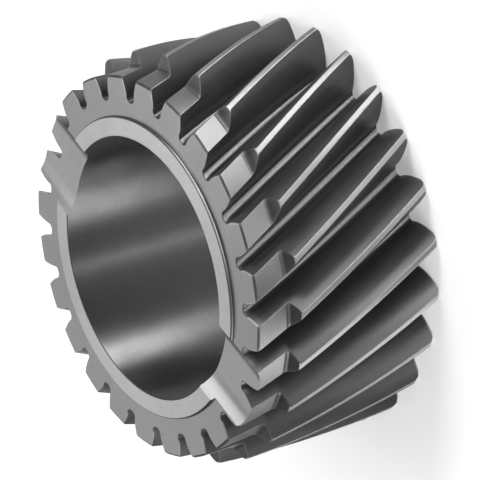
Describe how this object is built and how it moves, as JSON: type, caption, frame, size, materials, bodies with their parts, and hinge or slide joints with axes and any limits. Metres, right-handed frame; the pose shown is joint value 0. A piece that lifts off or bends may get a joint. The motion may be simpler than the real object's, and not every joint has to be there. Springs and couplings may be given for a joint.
{
  "type": "helical transmission gear",
  "caption": "Wide helical steel gear with a large plain bore, a raised thrust ring, turned-down tooth ends and an oil groove across its front face.",
  "frame": {"origin": "centre of the bore at the plain back face", "axes": "+Z along the bore axis, from the back face towards the thrust ring; the oil groove runs along X"},
  "size_m": [0.116, 0.116, 0.0579],
  "materials": {
    "gear_steel": "machined and ground, dark"
  },
  "bodies": {
    "root": {"helical_gear": "gear_steel"}
  },
  "joints": []
}
